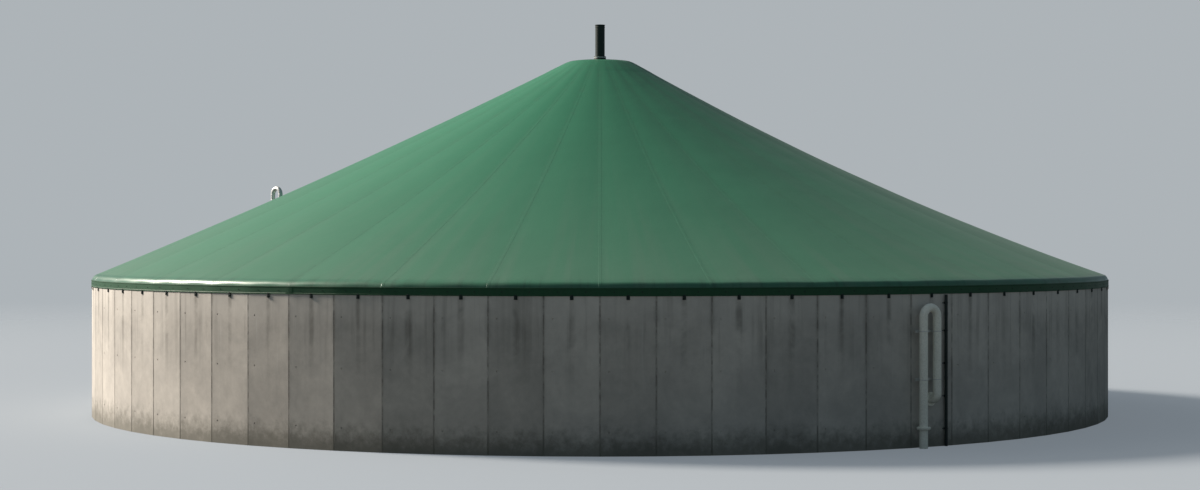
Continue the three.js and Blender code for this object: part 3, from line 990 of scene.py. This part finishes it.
RISER_AZIMUTH = radians(302.5)
RISER_OFFSET = -0.21
RISER_PIPE = 0.084
RISER_HALF = 0.174
RISER_TOP = 2.85
RISER_ENTRY = 0.95
RISER_ELBOW = 0.13
RISER_CENTRE = WALL_FACE + 0.20
RISER_FLANGES = 0.40
RISER_LOWEST_WELD = 0.62


def make_riser():
    bend = RISER_TOP - RISER_PIPE - RISER_HALF
    elbow = RISER_ENTRY + RISER_ELBOW
    route = [Vector((RISER_CENTRE, -RISER_HALF, 0))]
    route += bowed((RISER_CENTRE, 0, bend), -SIDE, UP, RISER_HALF, pi, 28)
    route += bowed((RISER_CENTRE - RISER_ELBOW, RISER_HALF, elbow), OUT, -UP, RISER_ELBOW,
                   pi / 2, 12)
    route.append(Vector((BACK + 0.005, RISER_HALF, RISER_ENTRY)))
    shape = Shape().add(swept(route, circle(RISER_PIPE, PIPE_SIDES)))
    shape.add(bolted_flange(0.140, 0.022, 0.010), at(BACK, RISER_HALF, RISER_ENTRY))
    for side, height in ((-1, bend), (1, bend), (1, elbow), (-1, RISER_LOWEST_WELD)):
        add_weld(shape, RISER_PIPE, RISER_CENTRE, side * RISER_HALF, height)
    add_weld(shape, RISER_PIPE, WALL_WELD, RISER_HALF, RISER_ENTRY, OUT)
    add_flange_pair(shape, bolted_flange(0.138, 0.016, 0.009),
                    RISER_CENTRE, -RISER_HALF, RISER_FLANGES)
    placed("riser_pipe", shape, RISER_AZIMUTH, CHALKY_ZINC, ["overflow_riser"], RISER_OFFSET)


BRACKET_HEIGHTS = {"lower": 1.35, "upper": 2.30}
RAIL_LENGTH_HALF = 0.31
RAIL_HEIGHT_HALF = 0.025
RAIL_DEPTH = 0.040
RAIL_THICKNESS = 0.005
FOOT_OFFSET = 0.12
FOOT_HALF = 0.030
FOOT_PLATE = 0.008
FOOT_CHEEK = 0.006
U_BOLT_RADIUS = 0.005


def make_riser_bracket(name, height):
    """A channel rail on two feet, with a strap round each pipe."""
    front = RISER_CENTRE - RISER_PIPE - GAP
    rail_back = front - RAIL_DEPTH
    low, high = height - RAIL_HEIGHT_HALF, height + RAIL_HEIGHT_HALF
    length = RAIL_LENGTH_HALF
    shape = Shape().add(block((front - RAIL_THICKNESS, -length, low), (front, length, high)))
    for bottom in (low, high - RAIL_THICKNESS):
        shape.add(block((rail_back, -length, bottom),
                        (front - 0.003, length, bottom + RAIL_THICKNESS)))
    head = bolt_head(0.007)
    for side in (-FOOT_OFFSET, FOOT_OFFSET):
        shape.add(block((BACK, side - FOOT_HALF, low), (BACK + FOOT_PLATE, side + FOOT_HALF, high)))
        for edge in (side - FOOT_HALF, side + FOOT_HALF - FOOT_CHEEK):
            shape.add(block((BACK + 0.006, edge, low + 0.006),
                            (front - 0.004, edge + FOOT_CHEEK, high - 0.006)))
        shape.add(head, at(BACK + FOOT_PLATE - BOLT_SINK, side, height))
    reach = RISER_PIPE + U_BOLT_RADIUS + 0.0005
    inwards = around(pi)
    for side in (-RISER_HALF, RISER_HALF):
        strap = [(front - 0.020, side - reach, height)]
        strap += bowed((RISER_CENTRE, side, height), -SIDE, OUT, reach, pi, 24)
        strap.append((front - 0.020, side + reach, height))
        shape.add(swept(strap, circle(U_BOLT_RADIUS, 12)))
        for edge in (side - reach, side + reach):
            shape.add(head, at(front - 0.006, edge, height) @ inwards)
    placed(f"riser_clamp_{name}", shape, RISER_AZIMUTH, GALVANIZED,
           [f"riser_bracket_{name}"], RISER_OFFSET)


CONDUIT_CENTRE = WALL_FACE + 0.050
CONDUIT_OFFSET = 0.337
CONDUIT_RADIUS = 0.032
CONDUIT_TOP = 3.015
CONDUIT_SIDES = 24
COUPLER_HEIGHTS = (1.32, 2.60)
COUPLER_LENGTH = 0.07
CLIP_HEIGHTS = (0.35, 1.0, 1.65, 2.3, 2.85)
CLIP_HALF = 0.020
CLIP_BAND_HALF = (0.0012, 0.012)
CLIP_TAB_OFFSET = 0.043
CLIP_TAB_HALF = 0.012
CLIP_TAB_THICKNESS = 0.004


def make_conduit():
    centre, offset = CONDUIT_CENTRE, CONDUIT_OFFSET
    shape = Shape().add(rod((centre, offset, 0), (centre, offset, CONDUIT_TOP),
                            CONDUIT_RADIUS, CONDUIT_SIDES))
    for height in COUPLER_HEIGHTS:
        shape.add(rod((centre, offset, height), (centre, offset, height + COUPLER_LENGTH),
                      CONDUIT_RADIUS + 0.003, CONDUIT_SIDES))
    screw = bolt_head(0.004)
    thick, wide = CLIP_BAND_HALF
    band = [(-thick, -wide), (-thick, wide), (thick, wide), (thick, -wide)]
    for height in CLIP_HEIGHTS:
        shape.add(block((BACK, offset - CLIP_HALF, height - CLIP_HALF),
                        (centre, offset + CLIP_HALF, height + CLIP_HALF)))
        strap = bowed((centre, offset, height), -SIDE, OUT, CONDUIT_RADIUS + thick, pi, 20)
        shape.add(swept(strap, band))
        for middle in (offset - CLIP_TAB_OFFSET, offset + CLIP_TAB_OFFSET):
            shape.add(block((BACK, middle - CLIP_TAB_HALF, height - CLIP_TAB_HALF),
                            (BACK + CLIP_TAB_THICKNESS, middle + CLIP_TAB_HALF,
                             height + CLIP_TAB_HALF), 0.001))
            shape.add(screw, at(BACK + CLIP_TAB_THICKNESS - BOLT_SINK, middle, height))
    placed("conduit_tube", shape, RISER_AZIMUTH, DUCT_GREY, ["cable_conduit"])


VALVE_AZIMUTH = radians(137.5)
VALVE_CENTRE = WALL_FACE + 0.295
VALVE_BOTTOM = 2.25
VALVE_TOP = 3.03
VALVE_INLET = 2.52
INLET_RADIUS = 0.060
DRUM_RADIUS = 0.200
DRUM_SIDES = 72
DRUM_SEAMS = (VALVE_BOTTOM + 0.14, VALVE_TOP - 0.18)
LID_RADIUS = 0.225
LID_BOLT_RING = 0.2105


def make_valve():
    foot = VALVE_BOTTOM - VALVE_TOP
    shape = Shape().add(turned([
        (0, foot), (DRUM_RADIUS - 0.010, foot), (DRUM_RADIUS - 0.002, foot + 0.004),
        (DRUM_RADIUS, foot + 0.012), (DRUM_RADIUS, -0.040), (LID_RADIUS - 0.0015, -0.036),
        (LID_RADIUS, -0.034), (LID_RADIUS, -0.021), (LID_RADIUS - 0.0025, -0.0195),
        (LID_RADIUS - 0.0025, -0.0165), (LID_RADIUS, -0.015), (LID_RADIUS, -0.002),
        (LID_RADIUS - 0.002, 0), (0, 0),
    ], DRUM_SIDES), at(VALVE_CENTRE, 0, VALVE_TOP))
    shape.add(rod((BACK + 0.010, 0, VALVE_INLET), (VALVE_CENTRE, 0, VALVE_INLET),
                  INLET_RADIUS, PIPE_SIDES))
    shape.add(bolted_flange(0.110, 0.022, 0.008), at(BACK, 0, VALVE_INLET))
    add_weld(shape, INLET_RADIUS, WALL_WELD, 0, VALVE_INLET, OUT)
    for height in DRUM_SEAMS:
        add_weld(shape, DRUM_RADIUS - 0.0015, VALVE_CENTRE, 0, height)
    add_lid_bolts(shape, 0.006, LID_BOLT_RING, VALVE_TOP - BOLT_SINK, VALVE_CENTRE)
    placed("valve_drum", shape, VALVE_AZIMUTH, GALVANIZED, ["relief_valve_body"])


VENT_RADIUS = 0.062
VENT_TOP = 5.70
VENT_BEND = 0.17
VENT_DROP = 0.16
VENT_BORE = (0.94, 0.10)
VENT_FLANGES = 4.26
MESH_WIRE = 0.0008
MESH_PITCH = 0.010


def make_vent():
    """The swan-neck vent, with flanges, welds and a wire mesh in its mouth."""
    bend = VENT_TOP - VENT_RADIUS - VENT_BEND
    foot = VALVE_TOP + GAP
    mouth = Vector((VALVE_CENTRE + 2 * VENT_BEND, 0, bend - VENT_DROP))
    route = [Vector((VALVE_CENTRE, 0, foot))]
    route += bowed((VALVE_CENTRE + VENT_BEND, 0, bend), -OUT, UP, VENT_BEND, pi, 28)
    route.append(mouth)
    shape = Shape().add(swept(route, circle(VENT_RADIUS, PIPE_SIDES), bore=VENT_BORE))
    shape.add(bolted_flange(0.110, 0.014, 0.007), at(VALVE_CENTRE, 0, foot) @ UPWARDS)
    add_flange_pair(shape, bolted_flange(0.100, 0.012, 0.006), VALVE_CENTRE, 0, VENT_FLANGES)
    for x, height in ((VALVE_CENTRE, bend), (mouth.x, bend), (mouth.x, mouth.z + 0.004)):
        add_weld(shape, VENT_RADIUS, x, 0, height)
    level = mouth.z + 0.012
    for step in range(-5, 6):
        off = step * MESH_PITCH
        half = sqrt((VENT_RADIUS * 0.95) ** 2 - off ** 2)
        shape.add(rod((mouth.x + off, -half, level), (mouth.x + off, half, level), MESH_WIRE, 6))
        shape.add(rod((mouth.x - half, off, level), (mouth.x + half, off, level), MESH_WIRE, 6))
    placed("vent_pipe", shape, VALVE_AZIMUTH, GALVANIZED, ["relief_valve_vent"])


SHELF_TOP = VALVE_BOTTOM - GAP
SHELF_FRONT = VALVE_CENTRE + 0.16
SHELF_WIDTH_HALF = 0.19
SHELF_PLATE = 0.016
SHELF_PLATE_DROP = 0.42
GUSSET_OFFSET = 0.15
GUSSET_HALF = 0.005
GUSSET_DROP = 0.40
ANCHOR_OFFSET = 0.085
ANCHOR_DROPS = (0.36, 0.09)


def make_valve_bracket():
    """A shelf and a wall plate, with two gussets and four anchors."""
    under = SHELF_TOP - 0.012
    gusset = [(BACK + 0.012, SHELF_TOP - GUSSET_DROP), (BACK + 0.012, under),
              (SHELF_FRONT - 0.016, under), (SHELF_FRONT - 0.016, SHELF_TOP - 0.040),
              (BACK + 0.05, SHELF_TOP - GUSSET_DROP)]
    width = SHELF_WIDTH_HALF
    shape = Shape().add(block((BACK, -width, SHELF_TOP - SHELF_PLATE),
                              (SHELF_FRONT, width, SHELF_TOP), 0.003))
    shape.add(block((BACK, -width, SHELF_TOP - SHELF_PLATE_DROP),
                    (BACK + SHELF_PLATE, width, under), 0.003))
    for side in (-GUSSET_OFFSET, GUSSET_OFFSET):
        points = [(x, y, z) for y in (side - GUSSET_HALF, side + GUSSET_HALF) for x, z in gusset]
        shape.add((points, bar(2, len(gusset))))
    head = bolt_head(0.009)
    for side in (-ANCHOR_OFFSET, ANCHOR_OFFSET):
        for drop in ANCHOR_DROPS:
            shape.add(head, at(BACK + SHELF_PLATE - BOLT_SINK, side, SHELF_TOP - drop))
    placed("valve_shelf", shape, VALVE_AZIMUTH, GALVANIZED, ["relief_valve_bracket"])


make_riser()
for bracket in BRACKET_HEIGHTS.items():
    make_riser_bracket(*bracket)
make_conduit()
make_valve()
make_vent()
make_valve_bracket()


# Finishes of the frame's own pieces that stay

for node_name, (own_finish, _) in {"floor_slab": CONCRETE, "crown_disc": DARK_STEEL}.items():
    node = bpy.data.objects[node_name]
    node.data.materials.clear()
    node.data.materials.append(own_finish)


# Floor, light and camera


def make_stage():
    """A plain pale floor that fades into the backdrop and throws a duller light on the tank."""
    mesh = bpy.data.meshes.new("stage_floor")
    form = bmesh.new()
    bmesh.ops.create_circle(form, cap_ends=True, segments=96, radius=FLOOR_RADIUS)
    form.to_mesh(mesh)
    form.free()
    f = Finish("stage_floor")
    bounce = f.add("ShaderNodeBsdfDiffuse", Color=FLOOR_BOUNCE)
    clear = f.add("ShaderNodeBsdfTransparent")
    surface = f.mixed(f.seen(), bounce.outputs[0], f.shader.outputs[0])
    f.put(f.mixed(f.between(f.radius, *FLOOR_FADE), surface, clear.outputs[0]),
          f.tree.nodes["Material Output"].inputs["Surface"])
    mesh.materials.append(f.done(FLOOR_TONE, 0.9, Specular_IOR_Level=0.1,
                                 Emission_Color=FLOOR_GLOW, Emission_Strength=1.0))
    floor = linked("stage_floor", mesh)
    floor.location.z = FLOOR_LEVEL


def make_light():
    """A low warm sun from the left, a little behind, under a hazy sky."""
    world = bpy.data.worlds.new("haze")
    bpy.context.scene.world = world
    world.use_nodes = True
    tree = world.node_tree
    nodes = Nodes(tree)
    direction = nodes.add("ShaderNodeTexCoord").outputs["Generated"]
    height = nodes.add("ShaderNodeSeparateXYZ", Vector=direction).outputs["Z"]
    sky = nodes.add("ShaderNodeValToRGB", None, height)
    stops = sky.color_ramp.elements
    stops.new(0.5)
    for stop, (level, colour) in zip(stops, SKY):
        stop.position, stop.color = level, colour
    towards = Vector((-cos(SUN_BEARING), sin(SUN_BEARING), tan(SUN_ELEVATION)))
    nearness = nodes.add("ShaderNodeVectorMath", "DOT_PRODUCT", direction, towards.normalized())
    ahead = nodes.math("MAXIMUM", nearness.outputs["Value"], 0.0)
    haze = nodes.math("POWER", ahead, GLOW_TIGHTNESS)
    light = tree.nodes["Background"]
    nodes.put(nodes.blend(haze, sky.outputs[0], GLOW, "ADD"), light.inputs["Color"])
    backdrop = nodes.add("ShaderNodeBackground", Color=BACKDROP)
    nodes.put(nodes.mixed(nodes.seen(), light.outputs[0], backdrop.outputs[0]),
              tree.nodes["World Output"].inputs["Surface"])

    sun = bpy.data.lights.new("sun", "SUN")
    sun.energy = SUN_STRENGTH
    sun.angle = SUN_WIDTH
    sun.color = SUN_COLOUR
    linked("sun", sun).rotation_euler = towards.to_track_quat("Z", "Y").to_euler()


def make_camera():
    data = bpy.data.cameras.new("camera")
    data.lens = LENS_MM
    data.sensor_width = 36.0
    data.clip_end = 500.0
    camera = linked("camera", data)
    camera.location = (0.0, -CAMERA_DISTANCE, CAMERA_HEIGHT)
    camera.rotation_euler = (pi / 2, 0.0, 0.0)
    bpy.context.scene.camera = camera


make_stage()
make_light()
make_camera()
bpy.context.scene.view_settings.view_transform = "Standard"
